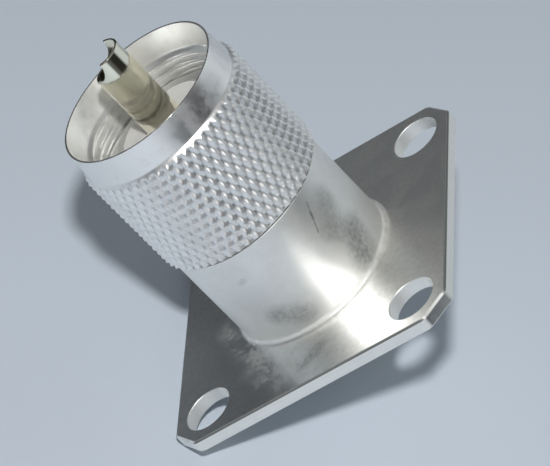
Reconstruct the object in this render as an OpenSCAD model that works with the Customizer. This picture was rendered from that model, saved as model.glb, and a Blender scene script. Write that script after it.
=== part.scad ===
// Panel-flange UHF plug: a square four-hole flange with a plain barrel, a free-turning knurled coupling nut
// held by a split ring, and a hollow centre contact carried in two insulators.
// The origin is the centre of the flange's rear mounting face, and +Z runs along the axis to the mating end.

/* [Flange] */
// Side of the square flange
flange_side = 32; // [28:0.5:44]
// Thickness of the flange plate
flange_thickness = 1.5; // [1:0.1:4]
// Length cut off each side at the flange's corners
corner_cut = 2.5; // [1:0.1:4]
// Distance from a mounting hole's centre to the flange's side
hole_margin = 3.95; // [3.5:0.05:5]
// Diameter of the mounting holes
hole_d = 5; // [3:0.1:6]
// Width of the broken edges around the flange
edge_break = 0.2; // [0.05:0.05:0.4]

/* [Barrel and neck] */
// Diameter of the plain barrel behind the nut
barrel_d = 17.7; // [16:0.1:22]
// Length of the barrel from the flange to the neck's shoulder
barrel_length = 11.6; // [6:0.1:25]
// Radius of the fillet where the barrel meets the flange
base_fillet = 0.4; // [0.1:0.05:1]
// Length of the neck that carries the nut, up to the contact face
neck_length = 10.1; // [8.5:0.1:13]
// Radial room between the neck and the nut's thread
neck_gap = 0.75; // [0.6:0.05:1.2]
// Length of the ferrule that stands in front of the contact face
ferrule_length = 1.1; // [0.5:0.1:3]
// Wall of the ferrule around the front insulator
ferrule_wall = 0.95; // [0.6:0.05:1.5]
// Diameter of the pilot boss behind the flange
boss_d = 12.8; // [12:0.1:16]
// Length of the pilot boss behind the flange
boss_length = 4; // [2:0.1:12]
// Chamfer on the turned edges of the body
turned_chamfer = 0.15; // [0.1:0.05:0.5]

/* [Coupling nut] */
// Major diameter of the nut's thread, bored plain
thread_d = 15.9; // [15:0.05:18]
// Wall of the nut between the thread and the smooth collar
nut_wall = 0.9; // [0.7:0.05:2]
// Length of the knurled grip
knurl_length = 12.55; // [9:0.05:20]
// Height of the knurl's valleys above the collar
knurl_root = 0.15; // [0.05:0.05:0.5]
// Depth of the knurl from crest to valley
knurl_depth = 0.4; // [0.2:0.05:0.7]
// Diamonds in one turn of the knurl
knurl_count = 54; // [36:2:72]
// Rows of knurl corners along the grip
knurl_rows = 12; // [6:1:16]
// Length of the chamfer at the front of the knurl
knurl_front_chamfer = 0.85; // [0.3:0.05:1.5]
// Length of the chamfer at the rear of the knurl
knurl_rear_chamfer = 0.25; // [0.1:0.05:1.5]
// Length of the smooth collar in front of the knurl
collar_length = 2.9; // [1.5:0.1:6]
// Radius lost along the collar's taper to the mouth
collar_taper = 0.2; // [0.05:0.05:0.4]
// Wall of the nut at the rim of the mouth
rim_wall = 0.2; // [0.1:0.05:0.4]
// Depth of the tapered lead-in before the thread starts
lead_in = 2.4; // [1:0.1:4]
// Length of the plain bearing at the rear of the nut
bearing_length = 5.5; // [4.5:0.1:7]

/* [Retaining ring] */
// Thickness of the split ring along the axis
ring_thickness = 1; // [0.6:0.05:1.4]
// Radial width of the split ring's section
ring_width = 1.25; // [0.8:0.05:1.5]
// Opening of the split ring
ring_gap = 2.5; // [1:0.1:5]
// Distance from the nut's rear face to the middle of the ring
ring_setback = 2.6; // [1.8:0.1:3.4]

/* [Insulators and contact] */
// Diameter of the front insulator
insulator_d = 10; // [8:0.1:11]
// Length of the front insulator
front_insulator_length = 12; // [6:0.1:16]
// Step in radius between the front and rear insulators
insulator_step = 0.4; // [0.2:0.05:0.8]
// Length of the rear insulator behind the pilot boss
insulator_reach = 2; // [0.5:0.1:8]
// Diameter of the centre contact
pin_d = 4; // [3:0.05:4.6]
// Length of the pin in front of the ferrule
pin_reach = 9.75; // [7:0.05:12]
// Wall of the hollow pin and of the solder cup
pin_wall = 0.3; // [0.25:0.05:0.9]
// Depth of the hollow in the pin's tip
pin_hollow = 7; // [3:0.1:9]
// Length of the broken edge around the pin's tip
nose_length = 0.1; // [0.05:0.05:1.5]
// Radius lost at the pin's tip
nose_inset = 0.06; // [0.02:0.02:0.2]
// Diameter of the round notch in the side of the pin's tip
tip_notch_d = 4.1; // [2:0.1:5]
// Distance from the pin's axis to the middle of the notch
tip_notch_offset = 1.8; // [1.2:0.05:2.6]
// Height of the contact's shank, inside the insulators, above the pin
shank_rise = 0.2; // [0.1:0.05:0.3]
// Height of the contact's captive collar above the pin
contact_collar_rise = 1; // [0.4:0.05:1.4]
// Length of the contact's captive collar
contact_collar_length = 1.5; // [0.6:0.1:4]
// Length of the contact's tail behind the rear insulator
tail_reach = 3.2; // [3:0.1:10]
// Depth of the solder cup in the tail
cup_depth = 3; // [2:0.1:6]
// Length of the side opening in the solder cup
cup_opening = 2; // [1:0.1:3.5]

/* [Clearances] */
// Radial running clearance between the nut and the neck
running_clearance = 0.05; // [0.02:0.01:0.1]
// Axial gap between the barrel's shoulder and the nut
nut_end_gap = 0.1; // [0.1:0.05:0.4]
// Clearance between the ring and the body's groove
ring_seat_clearance = 0.05; // [0.02:0.01:0.1]
// Clearance between the ring and the nut's groove
ring_clearance = 0.15; // [0.08:0.01:0.2]
// Radial clearance between pieces that are fixed together
seat_clearance = 0.02; // [0.01:0.01:0.05]

/* [Hidden] */
$fn = 96;

// Overlap that lets joined or cut shapes pass through each other's faces
overlap = 0.5;

// Heights along the axis
shoulder_z = flange_thickness + barrel_length;
contact_face_z = shoulder_z + neck_length;
ferrule_z = contact_face_z + ferrule_length;
boss_end_z = -boss_length;
nut_rear_z = shoulder_z + nut_end_gap;
knurl_front_z = nut_rear_z + knurl_length;
mouth_z = knurl_front_z + collar_length;
thread_rear_z = nut_rear_z + bearing_length;
thread_front_z = mouth_z - lead_in;
ring_z = nut_rear_z + ring_setback;
insulator_seat_z = ferrule_z - front_insulator_length;
insulator_end_z = boss_end_z - insulator_reach;
pin_tip_z = ferrule_z + pin_reach;
tail_end_z = insulator_end_z - tail_reach;

// Radii
barrel_r = barrel_d / 2;
boss_r = boss_d / 2;
thread_r = thread_d / 2;
neck_r = thread_r - neck_gap;
bearing_r = neck_r + running_clearance;
insulator_r = insulator_d / 2;
rear_insulator_r = insulator_r - insulator_step;
ferrule_r = insulator_r + ferrule_wall;
collar_r = thread_r + nut_wall;
mouth_r = collar_r - collar_taper;
knurl_valley_r = collar_r + knurl_root;
knurl_crest_r = knurl_valley_r + knurl_depth;
ring_inner_r = neck_r - ring_width / 2;
ring_outer_r = neck_r + ring_width / 2;
pin_r = pin_d / 2;
pin_hollow_r = pin_r - pin_wall;
shank_r = pin_r + shank_rise;
contact_collar_r = pin_r + contact_collar_rise;

// Places of the flange's holes and faces
hole_offset = flange_side / 2 - hole_margin;
side_distance = flange_side / 2;
corner_distance = (flange_side - corner_cut) / sqrt(2);

// The knurl's lattice: its end rows run just under the collar, so the chamfers fade into the nut
knurl_steps = 2 * knurl_count;
knurl_end_dip = 0.05;
knurl_end_r = collar_r - knurl_end_dip;
knurl_end_inset = 0.05;
knurl_first_z = nut_rear_z + knurl_end_inset + knurl_rear_chamfer;
knurl_last_z = knurl_front_z - knurl_front_chamfer;
knurl_row_pitch = (knurl_last_z - knurl_first_z) / (knurl_rows - 1);

// Height of a row of knurl corners, counted from the rear end row
function knurl_z(row) =
    row == 0 ? nut_rear_z + knurl_end_inset :
    row > knurl_rows ? knurl_front_z :
    knurl_first_z + (row - 1) * knurl_row_pitch;

// Radius of a knurl corner: crests and valleys take turns along each row and from row to row
function knurl_r(row, step) =
    row == 0 || row > knurl_rows ? knurl_end_r :
    (row + step) % 2 == 0 ? knurl_crest_r :
    knurl_valley_r;

// Index of a knurl corner in the list of points
function knurl_index(row, step) = row * knurl_steps + step % knurl_steps;

// The two faces between four corners, parted along the line that joins the two valleys
function knurl_faces(row, step) =
    let (a = knurl_index(row, step))
    let (b = knurl_index(row, step + 1))
    let (c = knurl_index(row + 1, step + 1))
    let (d = knurl_index(row + 1, step))
    (row + step) % 2 == 0 ? [[a, d, b], [b, d, c]] : [[a, c, b], [a, d, c]];

// A turned ring or disc between two heights with chamfers on its outer edges
module turned(radius, low_z, high_z, low_chamfer = 0, high_chamfer = 0) {
    rotate_extrude()
        polygon([
            [0, low_z],
            [radius - low_chamfer, low_z],
            [radius, low_z + low_chamfer],
            [radius, high_z - high_chamfer],
            [radius - high_chamfer, high_z],
            [0, high_z]
        ]);
}

// A plain round hole between two heights
module bored(radius, low_z, high_z) {
    translate([0, 0, low_z])
        cylinder(r = radius, h = high_z - low_z);
}

// A long square bar, turned on edge, that breaks one edge of the flange
module edge_cutter(distance, height) {
    bar = edge_break * sqrt(2);
    translate([distance, 0, height])
        rotate([0, 45, 0])
            cube([bar, flange_side, bar], center = true);
}

// The square plate with cut corners and broken edges
module flange_plate() {
    difference() {
        linear_extrude(flange_thickness)
            intersection() {
                square(flange_side, center = true);
                rotate(45)
                    square(2 * corner_distance, center = true);
            }
        for (quarter = [0 : 90 : 270])
            for (height = [0, flange_thickness]) {
                rotate(quarter)
                    edge_cutter(side_distance, height);
                rotate(quarter + 45)
                    edge_cutter(corner_distance, height);
            }
    }
}

// The concave fillet around the foot of the barrel
module foot_fillet() {
    translate([0, 0, flange_thickness])
        rotate_extrude()
            translate([barrel_r - overlap, 0])
                difference() {
                    square([base_fillet + overlap, base_fillet]);
                    translate([base_fillet + overlap, base_fillet])
                        circle(r = base_fillet);
                }
}

// The groove that holds the split ring, cut from a given inner radius outwards
module ring_groove(inner_r, outer_r, clearance) {
    half_width = ring_thickness / 2 + clearance;
    translate([0, 0, ring_z - half_width])
        rotate_extrude()
            translate([inner_r, 0])
                square([outer_r - inner_r, 2 * half_width]);
}

// The knurled grip: a lattice of diamond points closed by a flat cap at each end
module knurled_grip() {
    points = [
        for (row = [0 : knurl_rows + 1])
            for (step = [0 : knurl_steps - 1])
                let (angle = 360 * step / knurl_steps)
                let (radius = knurl_r(row, step))
                [radius * cos(angle), radius * sin(angle), knurl_z(row)]
    ];
    sides = [
        for (row = [0 : knurl_rows])
            for (step = [0 : knurl_steps - 1])
                each knurl_faces(row, step)
    ];
    rear_cap = [for (step = [0 : knurl_steps - 1]) knurl_index(0, step)];
    front_cap = [for (step = [knurl_steps - 1 : -1 : 0]) knurl_index(knurl_rows + 1, step)];
    polyhedron(points = points, faces = concat(sides, [rear_cap, front_cap]));
}

// The plain core of the nut, with the smooth collar that tapers to the mouth
module nut_core() {
    rotate_extrude()
        polygon([
            [0, nut_rear_z],
            [collar_r - turned_chamfer, nut_rear_z],
            [collar_r, nut_rear_z + turned_chamfer],
            [collar_r, knurl_front_z],
            [mouth_r, mouth_z],
            [0, mouth_z]
        ]);
}

// The lead-in from the rim of the mouth to the start of the thread
module mouth_lead_in() {
    rim_r = mouth_r - rim_wall;
    slope = (rim_r - thread_r) / lead_in;
    rotate_extrude()
        polygon([
            [0, thread_front_z],
            [thread_r, thread_front_z],
            [rim_r + slope * overlap, mouth_z + overlap],
            [0, mouth_z + overlap]
        ]);
}

// The flange, barrel, neck and pilot boss, turned and milled from one bar
module flange_body() {
    color([0.80, 0.81, 0.81])
        difference() {
            union() {
                flange_plate();
                turned(barrel_r, 0, shoulder_z, high_chamfer = turned_chamfer);
                foot_fillet();
                turned(neck_r, 0, contact_face_z, high_chamfer = turned_chamfer);
                turned(ferrule_r, 0, ferrule_z, high_chamfer = turned_chamfer);
                turned(boss_r, boss_end_z, flange_thickness, low_chamfer = turned_chamfer);
            }
            bored(rear_insulator_r, boss_end_z - overlap, ferrule_z);
            bored(insulator_r, insulator_seat_z, ferrule_z + overlap);
            ring_groove(ring_inner_r - ring_seat_clearance, neck_r + overlap, ring_seat_clearance);
            for (x = [-hole_offset, hole_offset])
                for (y = [-hole_offset, hole_offset])
                    translate([x, y, 0])
                        bored(hole_d / 2, -overlap, flange_thickness + overlap);
        }
}

// The coupling nut: a diamond-knurled grip, a smooth collar, a threaded mouth and a plain bearing
module coupling_nut() {
    color([0.84, 0.85, 0.86])
        difference() {
            union() {
                nut_core();
                knurled_grip();
            }
            bored(bearing_r, nut_rear_z - overlap, thread_rear_z + overlap);
            bored(thread_r, thread_rear_z, thread_front_z + overlap);
            mouth_lead_in();
            ring_groove(bearing_r - overlap, ring_outer_r + ring_clearance, ring_clearance);
        }
}

// The split spring ring that keeps the nut on the neck
module retaining_ring() {
    color([0.62, 0.62, 0.60])
        difference() {
            translate([0, 0, ring_z - ring_thickness / 2])
                rotate_extrude()
                    translate([ring_inner_r, 0])
                        square([ring_width, ring_thickness]);
            translate([0, -ring_gap / 2, ring_z - ring_thickness])
                cube([ring_outer_r + overlap, ring_gap, 2 * ring_thickness]);
        }
}

// The front insulator, bored for the pin and counterbored for the contact's captive collar
module front_insulator() {
    color([0.95, 0.95, 0.93])
        difference() {
            bored(insulator_r - seat_clearance, insulator_seat_z, ferrule_z);
            bored(shank_r + seat_clearance, insulator_seat_z - overlap, ferrule_z + overlap);
            bored(
                contact_collar_r + seat_clearance,
                insulator_seat_z - overlap,
                insulator_seat_z + contact_collar_length
            );
        }
}

// The rear insulator, which stands out behind the pilot boss
module rear_insulator() {
    color([0.95, 0.95, 0.93])
        difference() {
            turned(
                rear_insulator_r - seat_clearance,
                insulator_end_z,
                insulator_seat_z,
                low_chamfer = turned_chamfer
            );
            bored(shank_r + seat_clearance, insulator_end_z - overlap, insulator_seat_z + overlap);
        }
}

// The side opening that turns the end of the tail into a solder cup
module cup_side_opening() {
    translate([0, -pin_r - overlap, tail_end_z - overlap])
        cube([pin_r + overlap, 2 * (pin_r + overlap), cup_opening + overlap]);
}

// The round notch across one side of the pin's tip, where solder is run into the hollow
module tip_notch() {
    translate([-tip_notch_offset, 0, pin_tip_z])
        rotate([90, 0, 0])
            cylinder(d = tip_notch_d, h = pin_d + overlap, center = true);
}

// The centre contact: a hollow, notched pin in front, a captive collar, and a solder cup behind
module centre_contact() {
    color([0.86, 0.84, 0.76])
        difference() {
            union() {
                rotate_extrude()
                    polygon([
                        [0, tail_end_z],
                        [pin_r, tail_end_z],
                        [pin_r, insulator_end_z],
                        [shank_r, insulator_end_z],
                        [shank_r, ferrule_z],
                        [pin_r, ferrule_z],
                        [pin_r, pin_tip_z - nose_length],
                        [pin_r - nose_inset, pin_tip_z],
                        [0, pin_tip_z]
                    ]);
                bored(contact_collar_r, insulator_seat_z, insulator_seat_z + contact_collar_length);
            }
            bored(pin_hollow_r, pin_tip_z - pin_hollow, pin_tip_z + overlap);
            bored(pin_hollow_r, tail_end_z - overlap, tail_end_z + cup_depth);
            cup_side_opening();
            tip_notch();
        }
}

flange_body();
coupling_nut();
retaining_ring();
front_insulator();
rear_insulator();
centre_contact();
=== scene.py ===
"""Looks of the panel-flange UHF plug: turned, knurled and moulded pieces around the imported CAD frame."""

from __future__ import annotations

import logging
import math
from dataclasses import dataclass
from enum import Enum
from functools import reduce
from typing import Sequence

import bmesh
import bpy
from mathutils import Matrix, Vector


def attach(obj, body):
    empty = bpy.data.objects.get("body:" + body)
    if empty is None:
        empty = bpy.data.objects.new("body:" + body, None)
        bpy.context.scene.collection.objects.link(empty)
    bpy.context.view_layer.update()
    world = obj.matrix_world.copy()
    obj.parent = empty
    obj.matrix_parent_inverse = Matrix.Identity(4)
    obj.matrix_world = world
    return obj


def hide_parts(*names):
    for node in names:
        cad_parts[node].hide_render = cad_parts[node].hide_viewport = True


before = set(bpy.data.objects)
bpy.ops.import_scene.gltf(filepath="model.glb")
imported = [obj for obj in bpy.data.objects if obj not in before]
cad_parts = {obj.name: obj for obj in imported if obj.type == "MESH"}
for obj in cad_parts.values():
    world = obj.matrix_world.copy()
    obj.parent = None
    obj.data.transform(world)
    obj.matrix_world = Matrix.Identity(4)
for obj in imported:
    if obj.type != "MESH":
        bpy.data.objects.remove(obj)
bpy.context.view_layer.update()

LOG = logging.getLogger("uhf_plug")
MM = 0.001
TINY = 1e-6
MERGE_DISTANCE = 1e-6

Colour = tuple[float, float, float]
Place = tuple[float, float, float]
Span = tuple[float, float]


class Body(Enum):
    """The CAD bodies that pieces ride on."""

    PLUG = "plug_body"
    NUT = "nut"


class Slot(Enum):
    """The record's material slots."""

    BODY = "body_plate"
    NUT = "nut_plate"
    RING = "spring_ring"
    INSULATOR = "insulator"
    CONTACT = "contact_plate"


class Ray(Enum):
    """Kinds of ray that a stage material can tell apart."""

    CAMERA = "Is Camera Ray"
    GLOSSY = "Is Glossy Ray"
    TRANSMISSION = "Is Transmission Ray"


class Term:
    """A node's output that takes part in Python arithmetic."""

    def __init__(self, graph: Graph, socket: bpy.types.NodeSocket) -> None:
        """Wrap a socket of one graph."""
        self.graph = graph
        self.socket = socket

    def __add__(self, other: Term | float) -> Term:
        """Return the sum of two values."""
        return self.graph.math("ADD", self, other)

    def __radd__(self, other: float) -> Term:
        """Return the sum with a plain number on the left."""
        return self.graph.math("ADD", other, self)

    def __sub__(self, other: Term | float) -> Term:
        """Return the difference of two values."""
        return self.graph.math("SUBTRACT", self, other)

    def __rsub__(self, other: float) -> Term:
        """Return a plain number less this value."""
        return self.graph.math("SUBTRACT", other, self)

    def __mul__(self, other: Term | float) -> Term:
        """Return the product of two values."""
        return self.graph.math("MULTIPLY", self, other)

    def __rmul__(self, other: float) -> Term:
        """Return the product with a plain number on the left."""
        return self.graph.math("MULTIPLY", other, self)

    def __truediv__(self, other: Term | float) -> Term:
        """Return the quotient of two values."""
        return self.graph.math("DIVIDE", self, other)

    def __rtruediv__(self, other: float) -> Term:
        """Return a plain number divided by this value."""
        return self.graph.math("DIVIDE", other, self)

    def __mod__(self, other: Term | float) -> Term:
        """Return the remainder of a division that rounds down."""
        return self.graph.math("FLOORED_MODULO", self, other)

    def __abs__(self) -> Term:
        """Return the size of the value without its sign."""
        return self.graph.math("ABSOLUTE", self)

    def lower(self, other: Term | float) -> Term:
        """Return the smaller of two values."""
        return self.graph.math("MINIMUM", self, other)

    def upper(self, other: Term | float) -> Term:
        """Return the larger of two values."""
        return self.graph.math("MAXIMUM", self, other)

    def blend(self, other: Term, share: float) -> Term:
        """Return a fixed blend with another value, which has the given share."""
        return self * (1 - share) + other * share

    def lifted(self, low: float) -> Term:
        """Return the value drawn together so that 0 becomes the low value and 1 stays."""
        return self * (1 - low) + low

    def ramp(self, start: float, end: float) -> Term:
        """Ease from 0 to 1 between two values.

        Args:
            start: The value that gives 0.
            end: The value that gives 1, which may be the smaller one.

        Returns:
            The eased share.
        """
        sockets = {"Value": self, "From Min": start, "From Max": end}
        return self.graph.term("ShaderNodeMapRange", {"interpolation_type": "SMOOTHSTEP"}, sockets)


def largest(terms: Sequence[Term]) -> Term:
    """Return the largest of several values."""
    return reduce(Term.upper, terms)


def opaque(colour: Colour) -> tuple[float, float, float, float]:
    """Return a colour with full alpha."""
    return (*colour, 1.0)


@dataclass(frozen=True)
class Noise:
    """Cloud noise: cells in one millimetre, octaves of finer noise, and the strength of the finer noise."""

    per_mm: float
    detail: float
    roughness: float = 0.55


class Graph:
    """A node tree under construction, for a material, the world or a shape."""

    COLOUR_A = 6
    COLOUR_B = 7
    COLOUR_RESULT = 2

    def __init__(self, tree: bpy.types.NodeTree) -> None:
        """Start on an emptied tree."""
        self.tree = tree
        tree.nodes.clear()

    def node(
        self,
        kind: str,
        settings: dict[str, object] | None = None,
        sockets: dict[str | int, object] | None = None,
    ) -> bpy.types.Node:
        """Add a node.

        Args:
            kind: The node's type.
            settings: Its own settings, which are set first.
            sockets: Values or links of its inputs, by name or by place.

        Returns:
            The node.
        """
        made = self.tree.nodes.new(kind)
        for name, value in (settings or {}).items():
            setattr(made, name, value)
        for key, value in (sockets or {}).items():
            if isinstance(value, Term):
                self.tree.links.new(value.socket, made.inputs[key])
            else:
                made.inputs[key].default_value = value
        return made

    def term(
        self,
        kind: str,
        settings: dict[str, object] | None = None,
        sockets: dict[str | int, object] | None = None,
        output: str | int = 0,
    ) -> Term:
        """Add a node and return one of its outputs.

        Args:
            kind: The node's type.
            settings: Its own settings.
            sockets: Values or links of its inputs.
            output: The output's name or place.

        Returns:
            The output, ready for arithmetic.
        """
        return Term(self, self.node(kind, settings, sockets).outputs[output])

    def math(self, operation: str, *values: Term | float) -> Term:
        """Return the result of a Math node on values or plain numbers."""
        return self.term("ShaderNodeMath", {"operation": operation}, dict(enumerate(values)))

    def vector(self, operation: str, *values: object, output: str = "Vector") -> Term:
        """Return the result of a Vector Math node on vectors."""
        return self.term("ShaderNodeVectorMath", {"operation": operation}, dict(enumerate(values)), output)

    def length(self, vector: Term) -> Term:
        """Return a vector's length."""
        return self.vector("LENGTH", vector, output="Value")

    def dot(self, first: Term, second: object) -> Term:
        """Return the dot product of two vectors."""
        return self.vector("DOT_PRODUCT", first, second, output="Value")

    def parts(self, vector: Term) -> tuple[Term, Term, Term]:
        """Return the X, Y and Z values of a vector."""
        split = self.node("ShaderNodeSeparateXYZ", {}, {"Vector": vector})
        return Term(self, split.outputs[0]), Term(self, split.outputs[1]), Term(self, split.outputs[2])

    def joined(self, x: Term | float, y: Term | float, z: Term | float) -> Term:
        """Return the vector of three values."""
        return self.term("ShaderNodeCombineXYZ", {}, {"X": x, "Y": y, "Z": z})

    def mixed(self, share: Term, first: Term | Colour, second: Term | Colour) -> Term:
        """Blend two colours.

        Args:
            share: 0 for the first colour and 1 for the second.
            first: A colour or a colour output.
            second: A colour or a colour output.

        Returns:
            The blended colour.
        """
        sides = [side if isinstance(side, Term) else opaque(side) for side in (first, second)]
        sockets = {0: share, self.COLOUR_A: sides[0], self.COLOUR_B: sides[1]}
        return self.term("ShaderNodeMix", {"data_type": "RGBA"}, sockets, self.COLOUR_RESULT)

    def noise(self, place: Term, kind: Noise) -> Term:
        """Return cloud noise at a place in millimetres, mostly between 0.3 and 0.7."""
        sockets = {"Vector": place, "Scale": kind.per_mm, "Detail": kind.detail, "Roughness": kind.roughness}
        return self.term("ShaderNodeTexNoise", {}, sockets)


def node_material(name: str) -> tuple[bpy.types.Material, Graph]:
    """Start a node material.

    Args:
        name: The material's name.

    Returns:
        The material and its emptied graph.
    """
    material = bpy.data.materials.new(name)
    material.use_nodes = True
    return material, Graph(material.node_tree)


@dataclass(frozen=True)
class Stroke:
    """A soft mark on a plated surface, from one place to another in millimetres."""

    start: Place
    end: Place
    width: float
    strength: float


class Surface:
    """A material under construction, with its place on the part in millimetres."""

    CORE_SHARE = 0.15

    def __init__(self, name: str) -> None:
        """Start a node material.

        Args:
            name: The material's name.
        """
        self.material, self.graph = node_material(name)
        coordinates = self.graph.term("ShaderNodeTexCoord", {}, {}, "Object")
        self.place = self.graph.vector("MULTIPLY", coordinates, Vector((1, 1, 1)) / MM)
        self.x, self.y, self.z = self.graph.parts(self.place)
        flat = self.graph.vector("MULTIPLY", self.place, Vector((1, 1, 0)))
        self.radius = self.graph.length(flat)

    def noise(self, kind: Noise) -> Term:
        """Return cloud noise over the surface."""
        return self.graph.noise(self.place, kind)

    def turning(self, kind: Noise) -> Term:
        """Return noise that changes along the axis alone, as turning lines do."""
        return self.graph.noise(self.graph.joined(0.0, 0.0, self.z), kind)

    def bump(self, height: Term, strength: float, depth: float) -> Term:
        """Return the normal of a fine relief with a depth in millimetres."""
        sockets = {"Strength": strength, "Distance": depth * MM, "Height": height}
        return self.graph.term("ShaderNodeBump", {}, sockets)

    def mark(self, stroke: Stroke) -> Term:
        """Return the strength of a soft mark, 0 outside it.

        Args:
            stroke: The mark's ends, width and strength.

        Returns:
            A value that fades from the mark's strength at its middle line.
        """
        span = Vector(stroke.end) - Vector(stroke.start)
        offset = self.graph.vector("SUBTRACT", self.place, stroke.start)
        along = self.graph.dot(offset, span) / span.length_squared
        nearest = self.graph.vector("MULTIPLY", along.upper(0.0).lower(1.0), span)
        away = self.graph.vector("SUBTRACT", offset, nearest)
        faded = self.graph.length(away).ramp(stroke.width, stroke.width * self.CORE_SHARE)
        return faded * stroke.strength

    def marks(self, strokes: Sequence[Stroke]) -> Term:
        """Return the strongest of several soft marks."""
        return largest([self.mark(stroke) for stroke in strokes])

    def close(self, values: dict[str, object]) -> bpy.types.Material:
        """Add the shader and the output.

        Args:
            values: Values and links of the shader's sockets.

        Returns:
            The finished material.
        """
        shader = self.graph.term("ShaderNodeBsdfPrincipled", {}, values)
        self.graph.node("ShaderNodeOutputMaterial", {}, {"Surface": shader})
        return self.material


@dataclass(frozen=True)
class WornPlate:
    """Satin silver plate on the flange and barrel, stained by handling, with a painted dark reflection along
    the top bevel of the flange's sides. Places in mm.
    """

    name: str = "worn_silver_plate"
    clean: Colour = (0.96, 0.96, 0.935)
    cloudy: Colour = (0.73, 0.725, 0.69)
    stain_and_bevel_reflection_colour: Colour = (0.20, 0.215, 0.205)
    clouds: Noise = Noise(0.35, 4.0, 0.6)
    grains: Noise = Noise(2.2, 3.0)
    specks: Noise = Noise(8.0, 2.0)
    lines: Noise = Noise(7.0, 2.0)
    mottle_grain: float = 0.25
    tarnish_span: Span = (0.38, 0.72)
    tarnish_share: float = 0.75
    turned_clean: float = 0.45
    cut_clean: float = 0.8
    grained_speck: float = 0.4
    grained_span: Span = (0.28, 0.72)
    grained_share: float = 0.3
    broken_weights: tuple[float, float, float] = (0.5, 0.42, 0.08)
    broken_span: Span = (0.36, 0.64)
    broken_low: float = 0.4
    bevel_reflection_share: float = 0.9
    patch_span: Span = (0.3, 0.7)
    film_span: Span = (0.34, 0.62)
    film_share: float = 0.15
    roughness: float = 0.27
    least_roughness: float = 0.285
    haze_span: Span = (-8.0, 10.0)
    haze_roughness: float = 0.18
    turned_roughness: float = 0.19
    edge_roughness: float = 0.33
    wall_roughness: float = 0.3
    cloud_roughness: float = 0.06
    patch_roughness: float = 0.05
    wipe_roughness: float = 0.2
    speck_roughness: float = 0.1
    stain_roughness: float = 0.12
    fillet_roughness: float = 0.2
    relief_weights: tuple[float, float, float] = (0.4, 0.3, 0.2)
    relief_strength: float = 0.3
    relief_depth: float = 0.004
    turned_span: Span = (1.6, 1.9)
    edge_span: Span = (15.7, 15.9)
    bevel_span: Span = (1.28, 1.34)
    hole_offset: float = 12.05
    wall_span: Span = (2.6, 2.5)
    fillet_out_span: Span = (9.35, 9.25)
    fillet_up_span: Span = (2.2, 2.0)
    smudges: tuple[Stroke, ...] = (
        Stroke((-1.3, -8.8, 4.8), (1.2, -8.8, 3.5), 1.8, 0.55),
        Stroke((8.15, -3.4, 5.6), (7.8, -4.2, 3.3), 2.5, 0.75),
        Stroke((7.3, -5.0, 8.0), (7.8, -4.2, 6.4), 1.8, 0.5),
        Stroke((8.2, -3.4, 10.4), (7.8, -4.2, 8.2), 2.0, 0.4),
        Stroke((1.2, -12.0, 1.5), (-0.6, -13.1, 1.5), 1.3, 0.5),
    )
    wipes: tuple[Stroke, ...] = (
        Stroke((-10.6, -1.6, 1.5), (-8.3, -5.2, 1.5), 1.6, 0.9),
        Stroke((-8.3, -5.2, 1.5), (-5.8, -8.6, 1.5), 2.4, 0.9),
        Stroke((-5.8, -9.2, 1.5), (-3.4, -12.6, 1.5), 3.2, 0.65),
    )
    scratches: tuple[Stroke, ...] = (
        Stroke((7.4, -4.85, 11.8), (7.15, -5.22, 10.9), 0.15, 0.8),
        Stroke((7.15, -5.22, 10.9), (6.98, -5.44, 10.2), 0.22, 1.0),
        Stroke((6.98, -5.44, 10.2), (6.6, -5.9, 8.9), 0.14, 0.75),
        Stroke((-1.6, -8.7, 10.0), (-1.2, -8.77, 10.1), 0.5, 0.25),
    )

    def material(self) -> bpy.types.Material:
        """Build the plate's material.

        Returns:
            The material, with clouds, stains, a painted dark reflection on the top bevel of the flange's
            sides, wiped patches, grain and turning lines.
        """
        surface = Surface(self.name)
        graph = surface.graph
        cloud = surface.noise(self.clouds)
        grain = surface.noise(self.grains)
        speck = surface.noise(self.specks)
        turned = surface.z.ramp(*self.turned_span)
        across = abs(surface.x)
        along = abs(surface.y)
        edge = across.upper(along).ramp(*self.edge_span)
        from_hole = graph.joined(across - self.hole_offset, along - self.hole_offset, 0.0)
        wall = graph.length(from_hole).ramp(*self.wall_span)
        cut = edge.upper(wall)
        face = (1 - turned) * (1 - cut)

        mottle = cloud.blend(grain, self.mottle_grain)
        tarnish = mottle.ramp(*self.tarnish_span) * (1 - cut * self.cut_clean)
        grained = grain.blend(speck, self.grained_speck).ramp(*self.grained_span) * face * self.grained_share
        share = tarnish * (self.tarnish_share - turned * self.turned_clean) + grained
        plated = graph.mixed(share.lower(1.0), self.clean, self.cloudy)
        by_cloud, by_grain, by_speck = self.broken_weights
        patchwork = cloud * by_cloud + grain * by_grain + speck * by_speck
        broken = patchwork.ramp(*self.broken_span).lifted(self.broken_low)
        # Painted reflection: a dark line on the top bevel of the flange's sides stands in for the dark room
        # that the bevel mirrors. It shares the dark colour of the smudges and scratches.
        bevel_dark_reflection = edge * surface.z.ramp(*self.bevel_span) * (1 - turned) * self.bevel_reflection_share
        scratches_and_bevel_reflection = (surface.marks(self.scratches) * broken).upper(bevel_dark_reflection)
        marks_and_bevel_reflection = (surface.marks(self.smudges) * broken).upper(scratches_and_bevel_reflection)
        colour = graph.mixed(marks_and_bevel_reflection, plated, self.stain_and_bevel_reflection_colour)

        hazy = (surface.x + surface.y).ramp(*self.haze_span) * self.haze_roughness
        sawn = (edge * self.edge_roughness).upper(wall * self.wall_roughness)
        haze = hazy.upper(turned * self.turned_roughness).upper(sawn)
        patch = mottle.ramp(*self.patch_span) - 0.5
        film = surface.marks(self.wipes) * face * grain.blend(cloud, 0.5).ramp(*self.film_span)
        wiped = film * self.wipe_roughness
        patchy = tarnish * self.cloud_roughness + patch * face * self.patch_roughness + wiped
        fillet = surface.radius.ramp(*self.fillet_out_span) * surface.z.ramp(*self.fillet_up_span)
        dull = speck * self.speck_roughness + marks_and_bevel_reflection * self.stain_roughness + fillet * self.fillet_roughness
        uneven = haze + patchy + dull + (self.roughness - self.speck_roughness / 2)

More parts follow.
